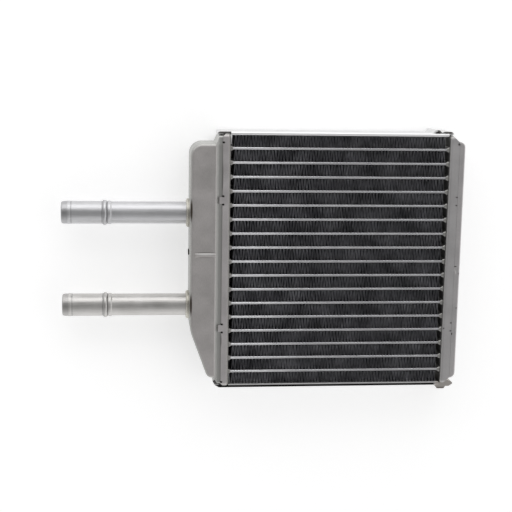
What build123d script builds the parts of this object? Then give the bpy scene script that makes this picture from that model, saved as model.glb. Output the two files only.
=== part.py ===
from build123d import *
import os
from math import radians, tan

# Brazed aluminium heater core, lying flat on its rear face.
# +X runs from the hose pipes to the return end, +Y up the stack of tubes, +Z out of the front face.
# The inlet end is at low X. Each end is built with X as the distance out from the tube sheet.
# All sizes are in millimetres.

# Tubes and fins
tube_count = 17
tube_pitch = 10.25
tube_depth = 26.0
tube_thickness = 2.0
tube_wall = 0.35
tube_end_inside = 2.1
fin_foil = 0.12
fin_half_wave = 1.2
fin_crest_flat = 0.55
fin_length = 154.8
fin_end_gap = 0.2
braze_film = 0.03

# Header plates, one at each end of the core
core_span = 158.6
sheet = 1.5
header_lip = 3.0
header_overhang = 1.25
header_bend = 2.0
header_corner = 3.0
inner_bend_share = 0.9
inner_corner_share = 0.6
slot_clearance = 0.05
collar_height = 1.7
collar_base_rise = 1.6
collar_tip_lip = 0.35
collar_root_depth = 0.8
inlet_wall_reach = 5.7
inlet_wall_chamfer = 2.0
return_wall_reach = 7.0
return_wall_chamfer = 4.9
crimp_tab_centres = (45.0, -48.8)
crimp_tab_width = 5.1
crimp_tab_reach = 2.2
relief_width = 0.9
relief_depth = 1.3
top_relief_inset = 6.1
bottom_relief_inset = 3.4

# Tanks
joint_clearance = 0.05
rim_start = 2.4
inlet_tank_reach = 28.7
inlet_face_drop = 0.4
inlet_top_inset = 7.1
inlet_foot_inset = 6.1
inlet_edge_radius = 2.4
inlet_top_corner = 9.0
inlet_knee_radius = 36.0
inlet_foot_corner = 5.0
slant_height = 36.4
slant_angle = 20.3
shoulder_low = 8.2
shoulder_high = 10.7
shoulder_wall_shift = 1.0
return_tank_reach = 11.3
return_end_inset = 4.4
return_tank_corner = 4.1
return_edge_radius = 1.2
return_joint_gap = 0.1
edge_to_corner = 0.8

# Baffle that divides the inlet tank, and the rib that holds it
baffle_thickness = 1.5
baffle_tab_width = 5.0
baffle_tab_stand = 0.8
baffle_stake_width = 3.6
rib_length = 14.2
rib_width = 3.4

# Hose pipes and the collars that seat them on the tank
pipe_spacing = 68.0
pipe_radius = 8.0
pipe_wall = 1.2
pipe_length = 91.8
pipe_inside = 3.0
stop_bead_start = 55.9
second_bead_width = 3.2
second_bead_height = 0.6
first_bead_width = 3.4
first_bead_height = 1.0
hose_zone_length = 22.4
hose_zone_growth = 0.2
nose_bead_width = 2.9
nose_bead_height = 0.25
nose_tip_drop = 0.8
nose_tip_slope = (0.6, -0.8)
seat_radius = 10.4
seat_rim = 0.7
seat_height = 2.4
seat_neck = 1.2

# Side plates above and below the stack
top_plate_thickness = 2.5
bottom_plate_thickness = 3.1
side_plate_edge = 1.2
side_plate_end_gap = 0.2
tongue_thickness = 1.2
bottom_tongue_thickness = 1.8
tongue_width = 24.0
tongue_seat_gap = 0.05
tongue_bend = 0.6

# Bent lines of the side plates' tongues, as distance out from the tube sheet and height over a tongue that lies flat
top_inlet_path = ((-12.0, 0.0), (9.3, 0.0), (9.3, -2.3))
top_return_path = (
    (-12.4, 0.0),
    (-10.5, 2.4),
    (-7.4, 2.4),
    (-5.3, 0.5),
    (-3.6, 1.4),
    (1.7, 1.4),
    (3.4, -0.3),
)
bottom_inlet_path = ((-12.0, 0.6), (6.6, 0.6), (9.7, -1.2), (11.3, -4.2))

# Outer and inner corners of the lug that is folded flat at the bottom plate's return end
lug_outer = ((-6.0, 0.0), (-2.9, 0.0), (-1.0, 3.5), (4.3, 3.5), (5.4, 1.7), (8.2, 1.7), (11.3, -0.5))
lug_inner = ((9.2, -2.2), (5.0, -3.2), (2.6, -1.2), (-6.0, -1.2))
lug_bend = 0.8

# Values worked out from the sizes above
header_depth = tube_depth + 2 * header_lip
fin_height = tube_pitch - tube_thickness
stack_half = (tube_count - 1) / 2 * tube_pitch + tube_thickness / 2 + fin_height
header_half = stack_half + header_overhang
core_half = core_span / 2
middle = header_depth / 2
rim_half_height = header_half - sheet - joint_clearance
rim_low = sheet + joint_clearance
end_relief_places = (header_half - top_relief_inset, bottom_relief_inset - header_half)
inlet_tank_top = header_half - inlet_top_inset
inlet_tank_bottom = header_half - inlet_foot_inset
return_tank_half_height = header_half - return_end_inset
baffle_y = tube_pitch / 2
core_x = (inlet_tank_reach + pipe_length - return_tank_reach) / 2
tongue_top = header_half + tongue_seat_gap + tongue_thickness
core_y = (max(y for x, y in lug_outer) - max(y for x, y in top_return_path)) / 2
all_depths = 2 * header_depth


def tube_place(index):
    """Height of a tube in the stack, counted from the top."""
    return ((tube_count - 1) / 2 - index) * tube_pitch


def at_inlet(shape):
    """Turn an end piece round and set it at the inlet end."""
    return Pos(core_x - core_half, 0, 0) * mirror(shape, about=Plane.YZ)


def at_return(shape):
    """Set an end piece at the return end."""
    return Pos(core_x + core_half, 0, 0) * shape


def block(x_range, y_range, z_range):
    """Box between two corners."""
    size = [high - low for low, high in (x_range, y_range, z_range)]
    centre = [(low + high) / 2 for low, high in (x_range, y_range, z_range)]
    return Pos(*centre) * Box(*size)


def end_section(x, y_low, y_high, z_low, z_high, radius):
    """Rounded rectangle that stands across the X axis."""
    centre = (x, (y_low + y_high) / 2, (z_low + z_high) / 2)
    plane = Plane(origin=centre, x_dir=(0, 1, 0), z_dir=(1, 0, 0))
    return plane * RectangleRounded(y_high - y_low, z_high - z_low, radius)


def tube_section(x, y, growth):
    """Round-ended section of a flat tube, grown all round."""
    plane = Plane(origin=(x, y, middle), x_dir=(0, 0, 1), z_dir=(1, 0, 0))
    return plane * SlotOverall(tube_depth + 2 * growth, tube_thickness + 2 * growth)


def flat_tube(index):
    """Hollow flat tube that runs through both tube sheets."""
    half_length = core_half + tube_end_inside
    start = core_x - half_length
    outer = tube_section(start, tube_place(index), 0)
    inner = tube_section(start, tube_place(index), -tube_wall)
    return extrude(outer - inner, 2 * half_length)


def beside(path, distance):
    """Points that run beside a path of straight legs, at one distance."""
    points = []
    for before, here, after in zip([None] + path[:-1], path, path[1:] + [None]):
        into = (here - before).normalized() if before else (after - here).normalized()
        out = (after - here).normalized() if after else into
        into_normal = Vector(-into.Y, into.X)
        out_normal = Vector(-out.Y, out.X)
        mitre = (into_normal + out_normal).normalized()
        points.append(here + mitre * (distance / mitre.dot(into_normal)))
    return points


def fin(row):
    """Corrugated strip, folded from one foil, that fills one row between tubes."""
    y_middle = stack_half - fin_height / 2 - row * tube_pitch
    swing = fin_height / 2 - braze_film - fin_foil / 2
    x_start = core_x - core_half + collar_height + fin_end_gap + fin_foil
    path = []
    for fold in range(round(fin_length / fin_half_wave)):
        x_fold = x_start + fold * fin_half_wave
        y_fold = y_middle + (swing if fold % 2 else -swing)
        path.append(Vector(x_fold, y_fold))
        path.append(Vector(x_fold + fin_crest_flat, y_fold))
    outline = beside(path, fin_foil / 2) + beside(path, -fin_foil / 2)[::-1]
    plane = Plane(origin=(0, 0, middle - tube_depth / 2))
    return extrude(plane * make_face(Polyline(*outline, close=True)), tube_depth)


def tube_collar(y):
    """Flared collar that the tube sheet raises round one tube."""
    root_half = tube_thickness / 2 + collar_base_rise
    tip_half = tube_thickness / 2 + collar_tip_lip
    root_end = tube_depth / 2 + 2 * collar_tip_lip
    tip_end = tube_depth / 2 + collar_tip_lip
    corner = tip_half - collar_tip_lip / 2
    root_z = (middle - root_end, middle + root_end)
    tip_z = (middle - tip_end, middle + tip_end)
    root = end_section(collar_root_depth, y - root_half, y + root_half, *root_z, corner)
    tip = end_section(-collar_height, y - tip_half, y + tip_half, *tip_z, corner)
    return loft([tip, root], ruled=True)


def pan(reach, inset):
    """Pressed pan with a rounded bend round its closed face, or the hollow inside it."""
    corner = header_corner - inset
    half = header_half - inset
    section = end_section(inset, -half, half, inset, header_depth - inset, corner)
    length = reach - inset + (sheet if inset else 0)
    body = extrude(section, length)
    closed_face = body.faces().sort_by(Axis.X)[0]
    return fillet(closed_face.edges(), header_bend - inner_bend_share * inset)


def wall_relief(reach, y):
    """Cut for one small relief notch, through the front and rear walls."""
    x_range = (reach - relief_depth, reach + sheet)
    return block(x_range, (y - relief_width / 2, y + relief_width / 2), (-sheet, all_depths))


def header_plate(reach, chamfer, tab_reach):
    """Tube sheet with its collars, its walls and the notched edge that holds the tank."""
    places = [tube_place(index) for index in range(tube_count)]
    plate = pan(reach, 0) + [tube_collar(y) for y in places]
    corner_cut = 2 * chamfer / 2 ** 0.5
    wedge = Rot(0, 0, 45) * Box(corner_cut, corner_cut, all_depths)
    cuts = [pan(reach, sheet)]
    for side in (-1, 1):
        cuts.append(Pos(reach, side * header_half, middle) * wedge)
    plate -= cuts
    reliefs = [wall_relief(reach, y) for y in end_relief_places]
    for centre in crimp_tab_centres:
        tab_y = (centre - crimp_tab_width / 2, centre + crimp_tab_width / 2)
        if tab_reach:
            plate += block((reach - sheet, reach + tab_reach), tab_y, (0, sheet))
            plate += block((reach - sheet, reach + tab_reach), tab_y, (header_depth - sheet, header_depth))
        for side in (-1, 1):
            reliefs.append(wall_relief(reach, centre + side * (crimp_tab_width + relief_width) / 2))
    sections = [tube_section(-collar_height - sheet, y, slot_clearance) for y in places]
    slots = [extrude(section, 3 * collar_height) for section in sections]
    return plate - (reliefs + slots)


def inlet_outline(inset, x_close):
    """Outline of the inlet tank's broad face, drawn in one inset distance."""
    turn = radians(slant_angle)
    x_outer = inlet_tank_reach - inset
    y_top = inlet_tank_top - inset
    y_bottom = inset - inlet_tank_bottom
    y_knee = slant_height - inlet_tank_bottom + inset * tan(turn / 2)
    x_foot = x_outer - (y_knee - y_bottom) * tan(turn)
    corners = [(x_close, y_top), (x_outer, y_top), (x_outer, y_knee)]
    corners += [(x_foot, y_bottom), (x_close, y_bottom)]
    radii = [inlet_top_corner - inset, inlet_knee_radius - inset, inlet_foot_corner - inset]
    line = FilletPolyline(*corners, radius=radii)
    return make_face(line + Line(corners[-1], corners[0]))


def inlet_form(inset):
    """Outside of the inlet tank, or with an inset the hollow inside it."""
    shift = shoulder_wall_shift * inset / sheet
    high_x = shoulder_high - shift
    low_x = shoulder_low - shift
    edge = inlet_edge_radius - inset
    z_low = inlet_face_drop + inset
    z_high = header_depth - inlet_face_drop - inset
    body = extrude(Pos(0, 0, z_low) * inlet_outline(inset, high_x), z_high - z_low)
    rims = body.faces().filter_by(Axis.Z).edges()
    rims = rims.filter_by(lambda e: e.center().X > high_x + joint_clearance)
    body = fillet(rims, edge)
    high = end_section(high_x, inset - inlet_tank_bottom, inlet_tank_top - inset, z_low, z_high, edge)
    rim_edge = header_corner - sheet - inner_corner_share * inset
    low_half = rim_half_height - inset
    low_size = (-low_half, low_half, rim_low + inset, header_depth - rim_low - inset)
    low = end_section(low_x, *low_size, rim_edge)
    shoulder = loft([low, high], ruled=True)
    rim_x = rim_start - inset
    rim = extrude(end_section(rim_x, *low_size, rim_edge), low_x - rim_x)
    return body + shoulder + rim


def baffle_rib(z_foot, rise):
    """Low rounded rib pressed out of one broad face of the inlet tank, over the baffle."""
    plane = Plane(origin=(shoulder_high, baffle_y, z_foot), x_dir=(0, 1, 0), z_dir=(1, 0, 0))
    foot = rib_width / 2
    profile = ThreePointArc((-foot, 0), (0, rise), (foot, 0)) + Line((foot, 0), (-foot, 0))
    return extrude(plane * make_face(profile), rib_length)


def baffle_channels(grow):
    """Grooves inside both ribs that take the baffle's long edges."""
    half = baffle_thickness / 2 + grow
    x_range = (shoulder_high + sheet - grow, shoulder_high + rib_length - sheet + grow)
    z_range = (sheet - grow, header_depth - sheet + grow)
    return block(x_range, (baffle_y - half, baffle_y + half), z_range)


def baffle_tab(grow):
    """Tab on the baffle that shows through the tank's outer wall."""
    half = baffle_thickness / 2 + grow
    x_range = (inlet_tank_reach - 2 * sheet, inlet_tank_reach + baffle_tab_stand)
    z_half = baffle_tab_width / 2 + grow
    return block(x_range, (baffle_y - half, baffle_y + half), (middle - z_half, middle + z_half))


def inlet_tank():
    """Drawn tank with a slanted foot, which takes both hose pipes and the baffle."""
    tank = inlet_form(0)
    tank += baffle_rib(inlet_face_drop, -inlet_face_drop)
    tank += baffle_rib(header_depth - inlet_face_drop, inlet_face_drop)
    tank -= inlet_form(sheet)
    tank -= baffle_channels(joint_clearance)
    tank -= baffle_tab(joint_clearance)
    for side in (-1, 1):
        hole = Pos(inlet_tank_reach, side * pipe_spacing / 2, middle) * Rot(0, 90, 0)
        tank -= hole * Cylinder(pipe_radius + slot_clearance, 4 * sheet)
    return tank


def baffle():
    """Divider between the inlet and outlet halves of the inlet tank."""
    half = baffle_thickness / 2
    slab = block((sheet, inlet_tank_reach), (baffle_y - half, baffle_y + half), (0, header_depth))
    plate = inlet_form(sheet + joint_clearance) & slab
    head_x = (inlet_tank_reach + joint_clearance, inlet_tank_reach + baffle_tab_stand)
    head_y = (baffle_y - baffle_stake_width / 2, baffle_y + baffle_stake_width / 2)
    head = block(head_x, head_y, (middle - baffle_tab_width / 2, middle + baffle_tab_width / 2))
    return plate + baffle_channels(0) + baffle_tab(0) + head


def return_form(inset):
    """Outside of the return tank, or with an inset the hollow inside it."""
    rim_x = rim_start - inset
    rim_edge = header_corner - sheet - inner_corner_share * inset
    rim_half = rim_half_height - inset
    rim_z = (rim_low + inset, header_depth - rim_low - inset)
    taper_x = return_wall_reach - return_wall_chamfer + sheet
    body_x = return_wall_reach + return_joint_gap + inset
    tip_half = rim_half - (body_x - taper_x)
    rim = extrude(end_section(rim_x, -rim_half, rim_half, *rim_z, rim_edge), taper_x - rim_x)
    wide = end_section(taper_x, -rim_half, rim_half, *rim_z, rim_edge)
    narrow = end_section(body_x, -tip_half, tip_half, *rim_z, rim_edge)
    rim += loft([wide, narrow], ruled=True)
    half = return_tank_half_height - inset
    x_outer = return_tank_reach - inset
    corner = min(return_tank_corner, x_outer - body_x - joint_clearance)
    edge_radius = min(return_edge_radius, edge_to_corner * corner)
    corners = [(body_x, half), (x_outer, half), (x_outer, -half), (body_x, -half)]
    line = FilletPolyline(*corners, radius=corner)
    face = make_face(line + Line(corners[-1], corners[0]))
    body = extrude(Pos(0, 0, inset) * face, header_depth - 2 * inset)
    edges = body.faces().filter_by(Axis.Z).edges()
    edges = edges.filter_by(lambda e: e.center().X > body_x + joint_clearance)
    return rim + fillet(edges, edge_radius)


def return_tank():
    """Shallow drawn tank that turns the flow round at the far end."""
    return return_form(0) - return_form(sheet)


def bead(start, width, radius, end_radius, height):
    """Half of one rolled bead, as an arc that stands off the wall."""
    return ThreePointArc((start, radius), (start + width / 2, end_radius + height), (start + width, end_radius))


def pipe_side(radius, drop):
    """Line along one side of a hose pipe, from inside the tank to the tip."""
    second_end = stop_bead_start + second_bead_width
    first_end = second_end + first_bead_width
    nose_start = first_end + hose_zone_length
    nose_end = nose_start + nose_bead_width
    hose_radius = radius + hose_zone_growth
    tip_radius = hose_radius - drop
    side = Line((-sheet - pipe_inside, radius), (stop_bead_start, radius))
    side += bead(stop_bead_start, second_bead_width, radius, radius, second_bead_height)
    side += bead(second_end, first_bead_width, radius, hose_radius, first_bead_height)
    side += Line((first_end, hose_radius), (nose_start, hose_radius))
    side += bead(nose_start, nose_bead_width, hose_radius, hose_radius, nose_bead_height)
    side += Spline((nose_end, hose_radius), (pipe_length, tip_radius), tangents=((1, 0), nose_tip_slope))
    return side


def hose_pipe(side):
    """Straight pipe with stop beads and a beaded nose for the hose."""
    outer = pipe_side(pipe_radius, nose_tip_drop)
    inner = pipe_side(pipe_radius - pipe_wall, nose_tip_drop)
    ends = Line(outer @ 0, inner @ 0) + Line(outer @ 1, inner @ 1)
    profile = make_face(outer + inner + ends)
    pipe = revolve(profile, axis=Axis.X)
    return Pos(inlet_tank_reach, side * pipe_spacing / 2, middle) * pipe


def pipe_seat(side):
    """Flared collar that is brazed round a hose pipe, against the tank wall."""
    bore = pipe_radius + slot_clearance
    neck = pipe_radius + seat_neck
    bulge = ((seat_rim + seat_height) / 2 + seat_rim / 2, (seat_radius + neck) / 2 + seat_rim / 2)
    profile = Line((0, bore), (0, seat_radius)) + Line((0, seat_radius), (seat_rim, seat_radius))
    profile += ThreePointArc((seat_rim, seat_radius), bulge, (seat_height, neck))
    profile += Line((seat_height, neck), (seat_height, bore)) + Line((seat_height, bore), (0, bore))
    seat = revolve(make_face(profile), axis=Axis.X)
    return Pos(inlet_tank_reach, side * pipe_spacing / 2, middle) * seat


def bent_strip(path, x_face, outward, thickness):
    """Strip along a bent line of its outer side, which is given from an end of the core outward."""
    top = [Vector(x_face + outward * x, tongue_top + y) for x, y in path]
    under = beside(top, -outward * thickness)
    top_radii = []
    under_radii = []
    for before, here, after in zip(top[:-2], top[1:-1], top[2:]):
        hollow_above = outward * (here - before).cross(after - here).Z > 0
        top_radii.append(tongue_bend if hollow_above else tongue_bend + thickness)
        under_radii.append(tongue_bend + thickness if hollow_above else tongue_bend)
    outline = bent_line(top, top_radii) + bent_line(under, under_radii)
    outline += Line(top[0], under[0]) + Line(top[-1], under[-1])
    return extrude(Pos(0, 0, middle - tongue_width / 2) * make_face(outline), tongue_width)


def bent_line(points, radii):
    """Line through points, with an arc at each inner one, or a straight line through two."""
    return FilletPolyline(*points, radius=radii) if radii else Line(*points)


def folded_lug():
    """Lug that is folded flat on itself, over the return end's corner."""
    corners = [Vector(core_x + core_half + x, tongue_top + y) for x, y in lug_outer + lug_inner]
    outline = FilletPolyline(*corners, radius=lug_bend) + Line(corners[-1], corners[0])
    return extrude(Pos(0, 0, middle - tongue_width / 2) * make_face(outline), tongue_width)


def plate_bar(thickness):
    """Plain length of a side plate, over the outer fins."""
    y_low = stack_half + braze_film
    x_range = (core_x - core_half + side_plate_end_gap, core_x + core_half - side_plate_end_gap)
    z_range = (middle - tube_depth / 2, middle + tube_depth / 2)
    bar = block(x_range, (y_low, y_low + thickness), z_range)
    return fillet(bar.edges().filter_by(Axis.X), side_plate_edge)


def top_side_plate():
    """Top side plate, with a hooked tongue and a waved one."""
    inlet_tongue = bent_strip(top_inlet_path, core_x - core_half, -1, tongue_thickness)
    return_tongue = bent_strip(top_return_path, core_x + core_half, 1, tongue_thickness)
    return plate_bar(top_plate_thickness) + inlet_tongue + return_tongue


def bottom_side_plate():
    """Bottom side plate, with a tongue bent round the tank's foot and a folded lug."""
    inlet_tongue = bent_strip(bottom_inlet_path, core_x - core_half, -1, bottom_tongue_thickness)
    return mirror(plate_bar(bottom_plate_thickness) + inlet_tongue + folded_lug(), about=Plane.XZ)


def save(shape, name):
    """Write one piece of the heater core, with the whole centred on the Y axis' zero."""
    export_step(Pos(0, core_y, 0) * shape, f"parts/{name}.step")


os.makedirs("parts", exist_ok=True)
save(at_inlet(header_plate(inlet_wall_reach, inlet_wall_chamfer, crimp_tab_reach)), "inlet_header_plate")
save(at_return(header_plate(return_wall_reach, return_wall_chamfer, 0)), "return_header_plate")
save(at_inlet(inlet_tank()), "inlet_tank")
save(at_inlet(baffle()), "baffle")
save(at_return(return_tank()), "return_tank")
save(at_inlet(hose_pipe(1)), "inlet_pipe")
save(at_inlet(hose_pipe(-1)), "outlet_pipe")
save(at_inlet(pipe_seat(1)), "inlet_pipe_seat")
save(at_inlet(pipe_seat(-1)), "outlet_pipe_seat")
save(top_side_plate(), "top_side_plate")
save(bottom_side_plate(), "bottom_side_plate")
for number in range(tube_count):
    save(flat_tube(number), f"flat_tube_{number + 1:02d}")
for number in range(tube_count + 1):
    save(fin(number), f"fin_{number + 1:02d}")
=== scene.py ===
import math
import random

import bpy
import numpy as np
from mathutils import Matrix, Vector

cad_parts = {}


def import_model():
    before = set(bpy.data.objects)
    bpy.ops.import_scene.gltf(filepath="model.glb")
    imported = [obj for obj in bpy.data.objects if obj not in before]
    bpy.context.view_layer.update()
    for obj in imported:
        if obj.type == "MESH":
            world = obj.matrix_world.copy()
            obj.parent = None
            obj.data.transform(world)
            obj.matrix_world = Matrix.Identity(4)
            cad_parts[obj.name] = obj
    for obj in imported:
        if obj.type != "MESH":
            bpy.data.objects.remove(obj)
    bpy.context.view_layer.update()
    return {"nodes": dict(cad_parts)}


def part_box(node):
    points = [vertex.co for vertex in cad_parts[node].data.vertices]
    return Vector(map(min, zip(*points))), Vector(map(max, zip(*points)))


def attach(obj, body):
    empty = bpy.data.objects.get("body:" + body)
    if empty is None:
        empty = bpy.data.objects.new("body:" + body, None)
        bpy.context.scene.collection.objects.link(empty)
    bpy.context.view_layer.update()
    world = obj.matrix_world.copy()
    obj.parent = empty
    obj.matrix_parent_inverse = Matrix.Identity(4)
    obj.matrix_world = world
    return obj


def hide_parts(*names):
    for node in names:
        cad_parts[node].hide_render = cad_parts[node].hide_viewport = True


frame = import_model()

# Lengths of the part and its marks are in millimetres, and those of the floor and the lights are in metres.
# X runs from the hose pipes to the return tank, Y up the stack of tubes, and Z out of the front face.
MM = 0.001

# Middle of the core's face, and its number of tubes: there is one more row of fins
CORE_X = 54.6
CORE_Y = 0.55
TUBE_COUNT = 17

# Fins: thickness of the foil, step from leg to leg, flat of a crest, and depth of the braze on it
FIN_FOIL = 0.1
FIN_HALF_WAVE = 1.2
FIN_CREST = 0.55
BRAZE_DEPTH = 0.28

# Louvres: their number in a bank, step and tilt, and the plain edge of the leg at both of their ends
LOUVRES = 6
LOUVRE_PITCH = 1.6
LOUVRE_TILT = math.radians(26)
LEG_EDGE = 0.7

# Bend of the legs: seed of its random draws, usual and greatest size, shares of the leg's own bend and of the drift
# along the row, share that is left at the rear, and share of the depth where it starts to grow towards the front
BEND_SEED = 7
LEG_BEND = 0.2
LEG_BEND_MOST = 0.4
OWN_SHARE = 0.85
DRIFT_SHARE = 0.3
DRIFT_POINTS = 12
REAR_SHARE = 0.25
BEND_START = 0.55

# Small relief notches in the inlet header's wall
NOTCH_X = -29.9
NOTCH_HEIGHTS = (86.9, 48.6, 42.6, -45.2, -51.2, -88.6)

# Z where the walls of headers and tanks bend into their front faces, below which the walls get painted shade, and
# softness of that change
WALL_TOP = 31.3
WALL_SOFT = 0.4

# Painted shade at the feet of the pipes' beads, from X to X
BEAD_FEET = ((-116.5, -114.7), (-113.0, -112.0), (-138.5, -137.7))

# Side plates: the top one lies past this height and the bottom one under minus it, their front edges lie past
# the Z, and the lug past the X
PLATE_HEIGHT = 80
PLATE_FRONT = 27.6
LUG_START = 131

# Painted shade on the tubes that darkens them towards the return tank: two stretches from X to X, and the share that
# each adds
FADE_SHADE = ((-6, 26, 0.5), (26, 75, 0.12))

# Patterns on all metals: size of the cloudy tone, the sums of grain and cloud that give the dark and the pale colour,
# the cloud that gives the least and the most rough gloss, and what these add to the metal's roughness
CLOUD_SIZE = 14
TONE_SUMS = (0.75, 1.25)
GLOSS_CLOUD = (0.3, 0.7)
GLOSS_CHANGE = (-0.05, 0.07)

# Distance from a spot's middle at which it fades, as a share of its half size
SPOT_FADE = (0.7, 1.3)

# Light that the floor gives off to the camera and to reflections, so that it stays white, and the part of the
# floor under the core that gives off none, with its softness
FLOOR_LIFT = 0.478
UNDER_CORE = {"X": (-37, 135), "Y": (CORE_Y - 84, CORE_Y + 84)}
UNDER_CORE_SOFT = 6

# Fitted camera: its directions, and its place from the middle of the core's face
VIEW_RIGHT = (0.99503, 0.01655, 0.0982)
VIEW_DOWN = (-0.00104, -0.98432, 0.17639)
VIEW_AHEAD = (0.09958, -0.17561, -0.97941)
VIEW_OFFSET = (-142.1, 148.9, 835.76)


def linear(code):
    """Linear colour of an sRGB hex code."""
    channels = [int(code[i:i + 2], 16) / 255 for i in (1, 3, 5)]
    line = [c / 12.92 if c <= 0.04045 else ((c + 0.055) / 1.055) ** 2.4 for c in channels]
    return (*line, 1.0)


# Materials


def new_material(name):
    """Material with an empty node tree."""
    mat = bpy.data.materials.new(name)
    mat.use_nodes = True
    mat.node_tree.nodes.clear()
    return mat


def add(tree, kind, inputs=None, **settings):
    """Adds one shader node, sets its properties, and sets or links its inputs.

    Inputs 0 to 4 of MapRange are the value, the range that it comes from and the range that it goes to.
    Inputs 0, 6 and 7 of Mix are the factor and the two colours.
    """
    made = tree.nodes.new("ShaderNode" + kind)
    for key, value in settings.items():
        setattr(made, key, value)
    for key, value in (inputs or {}).items():
        if isinstance(value, bpy.types.NodeSocket):
            tree.links.new(value, made.inputs[key])
        else:
            made.inputs[key].default_value = value
    return made


def product(tree, value, *others):
    """Product of values. Of masks, it is 1 only where all of them are 1."""
    for other in others:
        value = add(tree, "Math", {0: value, 1: other}, operation="MULTIPLY").outputs[0]
    return value


def greatest(tree, value, *others):
    """Greatest of values. Of masks, it is 1 where any of them is 1."""
    for other in others:
        value = add(tree, "Math", {0: value, 1: other}, operation="MAXIMUM").outputs[0]
    return value


def zone(tree, place, soft=0.25, **limits):
    """Mask that is 1 inside a box with soft sides, given by its lower and upper limit on each axis.

    A limit that is None leaves that side open.
    """
    parts = add(tree, "SeparateXYZ", {0: place})
    sides = []
    for letter, (low, high) in limits.items():
        for edge, before, after in ((low, 0.0, 1.0), (high, 1.0, 0.0)):
            if edge is not None:
                span = {1: (edge - soft) * MM, 2: (edge + soft) * MM, 3: before, 4: after}
                sides.append(add(tree, "MapRange", {0: parts.outputs[letter], **span}).outputs[0])
    return product(tree, *sides)


def spots(tree, place, marks):
    """Mask that is 1 inside any of several soft ellipsoids, given by their centres and half sizes."""
    near, far = SPOT_FADE
    found = []
    for centre, half in marks:
        off = add(tree, "VectorMath", {0: place, 1: [c * MM for c in centre]}, operation="SUBTRACT")
        scaled = add(tree, "VectorMath", {0: off.outputs[0], 1: [h * MM for h in half]}, operation="DIVIDE")
        length = add(tree, "VectorMath", {0: scaled.outputs[0]}, operation="LENGTH").outputs["Value"]
        found.append(add(tree, "MapRange", {0: length, 1: near, 2: far, 3: 1.0, 4: 0.0}).outputs[0])
    return greatest(tree, *found)


def header_shade(tree, place):
    """Painted shade on the walls and the inner edge, in two short crevice lines at the wall's edge, and in the relief
    notches.
    """
    sides = zone(tree, place, WALL_SOFT, Z=(None, WALL_TOP))
    inner_shade = zone(tree, place, X=(-26.2, 0))
    seam_shade = [((-30.4, 62, 32), (0.3, 10, 2)), ((-30.4, -57.5, 32), (0.35, 4, 2))]
    shaded_notches = [((NOTCH_X, y, 31), (0.85, 0.75, 3)) for y in NOTCH_HEIGHTS]
    shaded_notches += [((140.3, 86.9, 31), (0.8, 0.8, 3)), ((135.1, -49.4, 32), (0.5, 0.5, 2))]
    return (
        (sides, "#A9A8A5"),
        (inner_shade, "#A09E9B"),
        (spots(tree, place, seam_shade), "#7A7575"),
        (spots(tree, place, shaded_notches), "#2B2727"),
    )


def tank_light_and_shade(tree, place):
    """Painted highlight on the rib's top and painted shade at its feet, on the walls, in the crevices beside the
    pipes' seats and under the notches; the top wall is painted lighter than the other walls.
    """
    rib_highlight = [((-41.9, 6.5, 32), (7.0, 0.7, 3))]
    rib_foot_shade = [((-41.9, y, 32), (7.0, 0.4, 3)) for y in (7.7, 4.2)]
    sides = zone(tree, place, WALL_SOFT, Z=(None, WALL_TOP))
    top_wall_light = zone(tree, place, 0.8, Y=(85.0, None))
    crevice_shade = [((-52.4, y, 30.6), (0.75, 7.5, 3)) for y in (38.0, -31.0)]
    shaded_notches = [((NOTCH_X, y, 30.4), (0.9, 0.8, 1)) for y in NOTCH_HEIGHTS]
    return (
        (spots(tree, place, rib_highlight), "#F0EEEC"),
        (spots(tree, place, rib_foot_shade), "#9A9694"),
        (sides, "#B2B2AF"),
        (top_wall_light, "#C0C0BD"),
        (spots(tree, place, crevice_shade), "#4A423C"),
        (spots(tree, place, shaded_notches), "#2B2727"),
    )


def return_stains(tree, place):
    """One bright scrape with a dark start, and a few dark specks."""
    scrape = [((141.0, -5.0, 32), (0.5, 1.6, 2)), ((142.0, -7.0, 32), (0.4, 1.4, 2))]
    specks = [
        ((141.4, -2.7, 32), (1.2, 0.4, 2)),
        ((144.3, -8.1, 32), (0.4, 0.5, 2)),
        ((143.8, -33.9, 32), (0.4, 0.5, 2)),
        ((141.3, -53.6, 32), (0.45, 0.9, 2)),
    ]
    return (spots(tree, place, scrape), "#DAD8D6"), (spots(tree, place, specks), "#4C4847")


def pipe_shade(tree, place):
    """Painted shade in thin lines at the feet of the beads, and over the nose."""
    foot_shade = greatest(tree, *(zone(tree, place, X=limits) for limits in BEAD_FEET))
    nose_shade = zone(tree, place, 0.4, X=(None, -140.6))
    return (product(tree, foot_shade, 0.4), "#5E5E60"), (product(tree, nose_shade, 0.32), "#7C7C7E")


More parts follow.
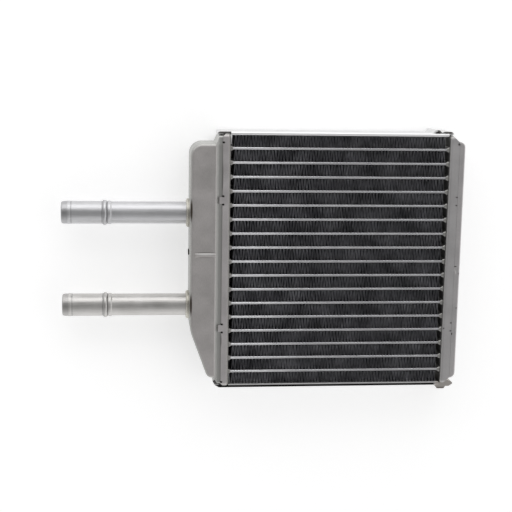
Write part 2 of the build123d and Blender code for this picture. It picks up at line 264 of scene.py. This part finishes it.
def plate_light_shade_and_tone(tree, place):
    """Painted highlight on the top plate's front edge and painted shade on the tongues' front edges; on the bottom
    plate's front edge a dimmer light line, with painted shade above it and a dark painted band below; and a brown lug,
    darker along its lower rim.
    """
    front = zone(tree, place, Z=(PLATE_FRONT, None))
    top = zone(tree, place, Y=(PLATE_HEIGHT, None))
    inlet_tongue = zone(tree, place, X=(None, -24.5), Y=(93.0, None))
    return_tongue = product(tree, zone(tree, place, X=(125, None)), zone(tree, place, 0.3, Y=(94.4, None)))
    bottom = zone(tree, place, Y=(None, -PLATE_HEIGHT))
    before_lug = zone(tree, place, 1.0, X=(None, LUG_START))
    edge = product(tree, bottom, front, before_lug)
    upper = zone(tree, place, Y=(-91.2, None))
    lowest = zone(tree, place, Y=(None, -91.9))
    lug = zone(tree, place, 1.0, X=(LUG_START, None))
    rim = zone(tree, place, 0.5, Y=(None, -95.6))
    return (
        (product(tree, front, top), "#FAFAFA"),
        (product(tree, front, greatest(tree, inlet_tongue, return_tongue)), "#7C7A78"),
        (edge, "#D0D0D0"),
        (product(tree, edge, upper), "#6A6868"),
        (product(tree, edge, lowest), "#222020"),
        (product(tree, bottom, lug), "#B9B4AF"),
        (product(tree, rim, lug), "#7E7873"),
    )


def tube_shade(tree, place):
    """Painted shade that deepens towards the return tank."""
    along = add(tree, "SeparateXYZ", {0: place}).outputs["X"]
    painted_fade = 0.0
    for start, end, share in FADE_SHADE:
        rise = add(tree, "MapRange", {0: along, 1: start * MM, 2: end * MM, 3: 0.0, 4: share})
        painted_fade = add(tree, "Math", {0: painted_fade, 1: rise.outputs[0]}, operation="ADD").outputs[0]
    return ((painted_fade, "#88888A"),)


def aluminium(name, pale, dark, roughness, grain_size, stretch, stains_and_shade=None, bump=0.2):
    """Aluminium with a stretched grain, a cloudy tone, uneven gloss, and its own stains and painted light and shade.
    """
    mat = new_material(name)
    tree = mat.node_tree
    place = add(tree, "TexCoord").outputs["Object"]
    stretched = add(tree, "Mapping", {"Vector": place, "Scale": stretch}).outputs[0]
    fine = {"Scale": 1 / (grain_size * MM), "Detail": 3.0, "Roughness": 0.6}
    grain = add(tree, "TexNoise", {"Vector": stretched, **fine}).outputs[0]
    wide = {"Scale": 1 / (CLOUD_SIZE * MM), "Detail": 4.0, "Roughness": 0.55}
    cloud = add(tree, "TexNoise", {"Vector": place, **wide}).outputs[0]
    tone = add(tree, "Math", {0: grain, 1: cloud}, operation="ADD").outputs[0]
    low, high = TONE_SUMS
    light = add(tree, "MapRange", {0: tone, 1: low, 2: high, 3: 0.0, 4: 1.0}).outputs[0]
    layers = [(light, pale)]
    if stains_and_shade:
        layers += stains_and_shade(tree, place)
    colour = linear(dark)
    for mask, code in layers:
        colour = add(tree, "Mix", {0: mask, 6: colour, 7: linear(code)}, data_type="RGBA").outputs[2]
    low, high = GLOSS_CLOUD
    least, most = (roughness + change for change in GLOSS_CHANGE)
    rough = add(tree, "MapRange", {0: cloud, 1: low, 2: high, 3: least, 4: most}).outputs[0]
    raised = add(tree, "Bump", {"Strength": 0.35, "Distance": bump * MM, "Height": grain}).outputs[0]
    shader = add(tree, "BsdfPrincipled", {
        "Base Color": colour,
        "Metallic": 1.0,
        "Roughness": rough,
        "Normal": raised,
    })
    add(tree, "OutputMaterial", {"Surface": shader.outputs[0]})
    return mat


# The real grain of rolled and drawn aluminium is too fine to show from the camera, so all of these draw it coarser
# and deeper, at 0.4 to 0.9 mm, and stretch it the way the metal was worked.

# Pressed sheet of the inlet header: warm satin grey, with painted shade on its walls and inner edge and in its
# notches.
header_metal = aluminium("header_sheet", "#D0CCCC", "#C1BDBD", 0.42, 0.5, (1, 1, 0.2), header_shade)
# Pressed sheet of the return header: the same satin, a shade darker, with the same painted shade on its walls and
# notches.
return_header_metal = aluminium("return_header_sheet", "#C2C0C0", "#B5B3B3", 0.42, 0.5, (1, 1, 0.2), header_shade)
# Drawn sheet of the inlet tank: warm satin grey with a grain up the tank, a painted highlight on its rib, and painted
# shade on its walls and in its crevices.
tank_metal = aluminium("inlet_tank_sheet", "#CFCAC9", "#BFBBB9", 0.44, 0.5, (1, 0.3, 1), tank_light_and_shade)
# Drawn sheet of the return tank: the same satin, a shade darker, with a scrape.
return_metal = aluminium("return_tank_sheet", "#C4C1C1", "#B7B5B5", 0.42, 0.5, (1, 0.3, 1), return_stains)
# Baffle sheet in a dark grey, which shows on its tab.
baffle_metal = aluminium("baffle_sheet", "#55504C", "#3A3633", 0.5, 0.5, (1, 1, 1))
# Drawn tube of the inlet pipe: brighter than the sheet, with drawn lines along X.
pipe_metal = aluminium("inlet_pipe_tube", "#D6D6D8", "#C4C4C6", 0.34, 0.5, (0.03, 1, 1), pipe_shade, 0.25)
# Drawn tube of the outlet pipe: the same, a shade warmer.
lower_pipe_metal = aluminium("outlet_pipe_tube", "#D6D4D2", "#C3C1BE", 0.34, 0.5, (0.03, 1, 1), pipe_shade, 0.25)
# Turned metal of the pipes' seats: half bright, and yellowed in patches by the braze.
seat_metal = aluminium("pipe_seat_metal", "#DAD7CE", "#B2AEA4", 0.34, 0.6, (1, 1, 1))
# Rolled strip of the side plates: pale satin, with a painted highlight on the top plate's front edge and painted shade
# on the bottom plate's.
strip_metal = aluminium("side_plate_strip", "#ECECEC", "#DCDCDC", 0.42, 0.4, (0.08, 1, 1), plate_light_shade_and_tone)
# Extruded metal of the flat tubes: bright and half glossy, with painted shade that darkens it towards the return tank.
tube_metal = aluminium("flat_tube_metal", "#ECECEE", "#DCDCDE", 0.28, 0.4, (0.1, 1, 1), tube_shade)
# Foil of the fins: dulled by flux, with a tone of its own on each leg.
fin_metal = aluminium("fin_foil", "#E4E4E8", "#929298", 0.36, 0.9, (1, 0.2, 0.15))
# Braze that wets the fins' crests where they meet the tubes: pale and half glossy, with the tubes' painted shade
# towards the return tank.
crest_metal = aluminium("crest_braze", "#DCDCDE", "#C6C6C8", 0.3, 0.4, (1, 1, 0.2), tube_shade)


# Louvred fins


def only(obj):
    """Makes one object the selected and active one."""
    bpy.ops.object.select_all(action="DESELECT")
    obj.select_set(True)
    bpy.context.view_layer.objects.active = obj


def settle():
    """Puts the place, turn and size of the selected object into its mesh."""
    bpy.ops.object.transform_apply(location=True, rotation=True, scale=True)


def bar(size, place=(0, 0, 0), turn=(0, 0, 0)):
    """Plain bar, made in place."""
    bpy.ops.object.select_all(action="DESELECT")
    bpy.ops.mesh.primitive_cube_add(size=1.0, location=place, rotation=turn)
    obj = bpy.context.object
    obj.scale = size
    settle()
    return obj


def repeat(obj, count, step):
    """Row of copies at a constant step."""
    only(obj)
    rows = obj.modifiers.new("rows", "ARRAY")
    rows.count = count
    rows.use_relative_offset = False
    rows.use_constant_offset = True
    rows.constant_offset_displace = step
    bpy.ops.object.modifier_apply(modifier=rows.name)


def join(objs):
    """Joins objects into the first."""
    only(objs[0])
    for obj in objs[1:]:
        obj.select_set(True)
    bpy.ops.object.join()
    return objs[0]


def copy_of(obj, name):
    """Copy with its own mesh."""
    twin = obj.copy()
    twin.data = obj.data.copy()
    twin.name = name
    twin.data.name = name
    bpy.context.scene.collection.objects.link(twin)
    return twin


def fin_leg(height, depth):
    """One upright leg of a fin, with two banks of tilted louvres cut out of it."""
    foil = FIN_FOIL * MM
    edge = LEG_EDGE * MM
    pitch = LOUVRE_PITCH * MM
    bank = pitch * LOUVRES
    margin = (depth - 2 * bank) / 4
    louvre_height = height - 2 * edge
    strips = []
    for side in (-1, 1):
        place = (0, side * (height - edge) / 2, 0)
        strips.append(bar((foil, edge, depth), place))
    uprights = (
        (-depth / 2 + margin / 2, margin),
        (0, 2 * margin),
        (depth / 2 - margin / 2, margin),
    )
    for place_z, width in uprights:
        strips.append(bar((foil, louvre_height, width), (0, 0, place_z)))
    for side in (-1, 1):
        first = side * (margin + bank / 2) - bank / 2 + pitch / 2
        louvre = bar((foil, louvre_height, pitch), (0, 0, first), (0, side * LOUVRE_TILT, 0))
        repeat(louvre, LOUVRES, (0, 0, pitch))
        strips.append(louvre)
    return join(strips)


def louvred_fin(low, high):
    """One corrugated fin with louvred legs and brazed crests, filling the box of its plain solid.

    Also gives the number of points in one leg, and in one wave of two legs and two crests.
    """
    foil = FIN_FOIL * MM
    wave = 2 * FIN_HALF_WAVE * MM
    flat = FIN_CREST * MM
    depth = high.z - low.z
    swing = (high.y - low.y - foil) / 2
    run = FIN_HALF_WAVE * MM - flat
    lean = math.atan2(run, 2 * swing)
    leg = fin_leg(math.hypot(run, 2 * swing), depth)
    leg_points = len(leg.data.vertices)
    second = copy_of(leg, "leg")
    for piece, turn, shift in ((leg, -lean, flat + run / 2), (second, lean, 1.5 * run + 2 * flat)):
        only(piece)
        piece.rotation_euler.z = turn
        piece.location.x = shift
        settle()
    crests = []
    braze = BRAZE_DEPTH * MM
    for side, start in ((-1, 0), (1, flat + run)):
        place = (start + flat / 2, side * (swing + foil / 2 - braze / 2), 0)
        crests.append(bar((flat + foil, braze, depth), place))
    unit = join([leg, second, *crests])
    unit_points = len(unit.data.vertices)
    waves = int((high.x - low.x) / wave)
    repeat(unit, waves, (wave, 0, 0))
    last_place = (waves * wave + flat / 2, -(swing + foil / 2 - braze / 2), 0)
    last = bar((flat, braze, depth), last_place)
    for polygon in unit.data.polygons:
        step = polygon.vertices[0] % unit_points
        polygon.material_index = 1 if step >= 2 * leg_points else 0
    unit.data.materials.append(fin_metal)
    unit.data.materials.append(crest_metal)
    last.data.materials.append(crest_metal)
    join([unit, last])
    return unit, leg_points, unit_points


def bend_legs(obj, leg_points, unit_points, swing, depth, rng):
    """Bends each leg a little, most at the front edge, and keeps the crests in place."""
    points = np.empty(len(obj.data.vertices) * 3)
    obj.data.vertices.foreach_get("co", points)
    points = points.reshape(-1, 3)
    number = np.arange(len(points))
    leg = np.minimum((number % unit_points) // leg_points, 2)
    fold = (number // unit_points) * 2 + leg
    own = np.array([rng.gauss(0, 1) for _ in range(int(fold.max()) + 1)])
    drift = np.array([rng.gauss(0, 1) for _ in range(DRIFT_POINTS)])
    slow = np.interp(fold, np.linspace(0, fold.max(), DRIFT_POINTS), drift)
    amount = LEG_BEND * MM * (OWN_SHARE * own[fold] + DRIFT_SHARE * slow)
    amount = np.clip(amount, -LEG_BEND_MOST * MM, LEG_BEND_MOST * MM)
    front = np.clip((points[:, 2] / depth + 0.5 - BEND_START) / (1 - BEND_START), 0, 1) ** 2
    across = np.cos(np.pi / 2 * points[:, 1] / swing)
    points[:, 0] += np.where(leg < 2, amount * (REAR_SHARE + front) * across, 0)
    obj.data.vertices.foreach_set("co", points.ravel())
    obj.data.update()


def make_fins():
    """All rows of fins, each a bent copy of one."""
    rng = random.Random(BEND_SEED)
    low, high = (Vector(corner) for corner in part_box("fin_01"))
    swing = (high.y - low.y) / 2
    depth = high.z - low.z
    pattern, leg_points, unit_points = louvred_fin(low, high)
    for row in range(TUBE_COUNT + 1):
        name = f"fin_{row + 1:02d}"
        low, high = (Vector(corner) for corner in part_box(name))
        fin = copy_of(pattern, f"louvred_{name}")
        bend_legs(fin, leg_points, unit_points, swing, depth, rng)
        only(fin)
        fin.location = (low.x, (low.y + high.y) / 2, (low.z + high.z) / 2)
        settle()
        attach(fin, "root")
        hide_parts(name)
    bpy.data.objects.remove(pattern)


make_fins()


# Materials of the model's own solids


def dress(name, mat):
    """Gives a node of the model its material."""
    obj = frame["nodes"][name]
    obj.data.materials.clear()
    obj.data.materials.append(mat)


for name in frame["nodes"]:
    if name.startswith("flat_tube"):
        dress(name, tube_metal)
    elif name.startswith("fin"):
        dress(name, fin_metal)
    elif name.endswith("side_plate"):
        dress(name, strip_metal)
    elif name.endswith("seat"):
        dress(name, seat_metal)
dress("inlet_header_plate", header_metal)
dress("return_header_plate", return_header_metal)
dress("inlet_tank", tank_metal)
dress("baffle", baffle_metal)
dress("return_tank", return_metal)
dress("inlet_pipe", pipe_metal)
dress("outlet_pipe", lower_pipe_metal)


# Floor, light and camera


def seen_directly(tree):
    """1 for rays of the camera and of reflections, and 0 for the light that falls on things."""
    path = add(tree, "LightPath").outputs
    return greatest(tree, path["Is Camera Ray"], path["Is Glossy Ray"], path["Is Transmission Ray"])


def floor():
    """Matt white floor that stays white to the camera and in reflections, and keeps its shadow."""
    bpy.ops.object.select_all(action="DESELECT")
    bpy.ops.mesh.primitive_plane_add(size=40.0, location=(0, 0, 0))
    plane = bpy.context.object
    plane.name = "floor"
    mat = new_material("white_floor")
    tree = mat.node_tree
    under_core = zone(tree, add(tree, "TexCoord").outputs["Object"], UNDER_CORE_SOFT, **UNDER_CORE)
    lift = add(tree, "MapRange", {0: under_core, 1: 0.0, 2: 1.0, 3: FLOOR_LIFT, 4: 0.0}).outputs[0]
    lift = product(tree, seen_directly(tree), lift)
    matt = add(tree, "BsdfDiffuse", {"Color": linear("#EDEDED")})
    glow = add(tree, "Emission", {"Color": linear("#FFFFFF"), "Strength": lift})
    both = add(tree, "AddShader", {0: matt.outputs[0], 1: glow.outputs[0]})
    add(tree, "OutputMaterial", {"Surface": both.outputs[0]})
    plane.data.materials.append(mat)


def soft_light(name, place, size, level):
    """Rectangular soft light with a plain radiance level, turned towards the object."""
    data = bpy.data.lights.new(name, "AREA")
    data.shape = "RECTANGLE"
    data.size, data.size_y = size
    data.energy = level * math.pi * size[0] * size[1]
    lamp = bpy.data.objects.new(name, data)
    bpy.context.scene.collection.objects.link(lamp)
    lamp.location = place
    lamp.rotation_euler = (-Vector(place)).to_track_quat("-Z", "Y").to_euler()


def world(overhead, horizon, pipe_side):
    """Plain studio light: paler towards the horizon, darker past the pipes' tips, and a white rim seen low down."""
    surroundings = bpy.data.worlds.new("studio")
    surroundings.use_nodes = True
    tree = surroundings.node_tree
    tree.nodes.clear()
    # Way out to the world: its Z is 0 at the horizon and 1 overhead, and its X is -1 past the pipes' tips.
    way = add(tree, "SeparateXYZ", {0: add(tree, "TexCoord").outputs["Generated"]}).outputs
    level = add(tree, "MapRange", {0: way["Z"], 1: 0.5, 2: 1.0, 3: horizon, 4: overhead}).outputs[0]
    shade = add(tree, "MapRange", {0: way["X"], 1: -0.8, 2: 0.2, 3: pipe_side, 4: 1.0}).outputs[0]
    rim = add(tree, "MapRange", {0: way["Z"], 1: 0.1, 2: 0.22, 3: 1.0, 4: 0.0}).outputs[0]
    level = greatest(tree, product(tree, level, shade), product(tree, rim, seen_directly(tree)))
    back = add(tree, "Background", {"Color": linear("#FFFFFF"), "Strength": level})
    add(tree, "OutputWorld", {"Surface": back.outputs[0]})
    bpy.context.scene.world = surroundings


def camera():
    """Camera over the pipes' side of the core, turned a little towards the return tank."""
    data = bpy.data.cameras.new("view")
    data.lens = 80.0
    data.sensor_width = 36.0
    data.clip_end = 20.0
    cam = bpy.data.objects.new("view", data)
    bpy.context.scene.collection.objects.link(cam)
    turn = Matrix((VIEW_RIGHT, -Vector(VIEW_DOWN), -Vector(VIEW_AHEAD))).transposed().to_4x4()
    off_x, off_y, height = VIEW_OFFSET
    place = Vector((CORE_X + off_x, CORE_Y + off_y, height)) * MM
    cam.matrix_world = Matrix.Translation(place) @ turn
    bpy.context.scene.camera = cam


floor()
world(overhead=0.34, horizon=0.92, pipe_side=0.55)
soft_light("top", place=(-0.3, 1.4, 0.6), size=(2.4, 1.2), level=0.8)
camera()
bpy.context.scene.view_settings.view_transform = "Standard"
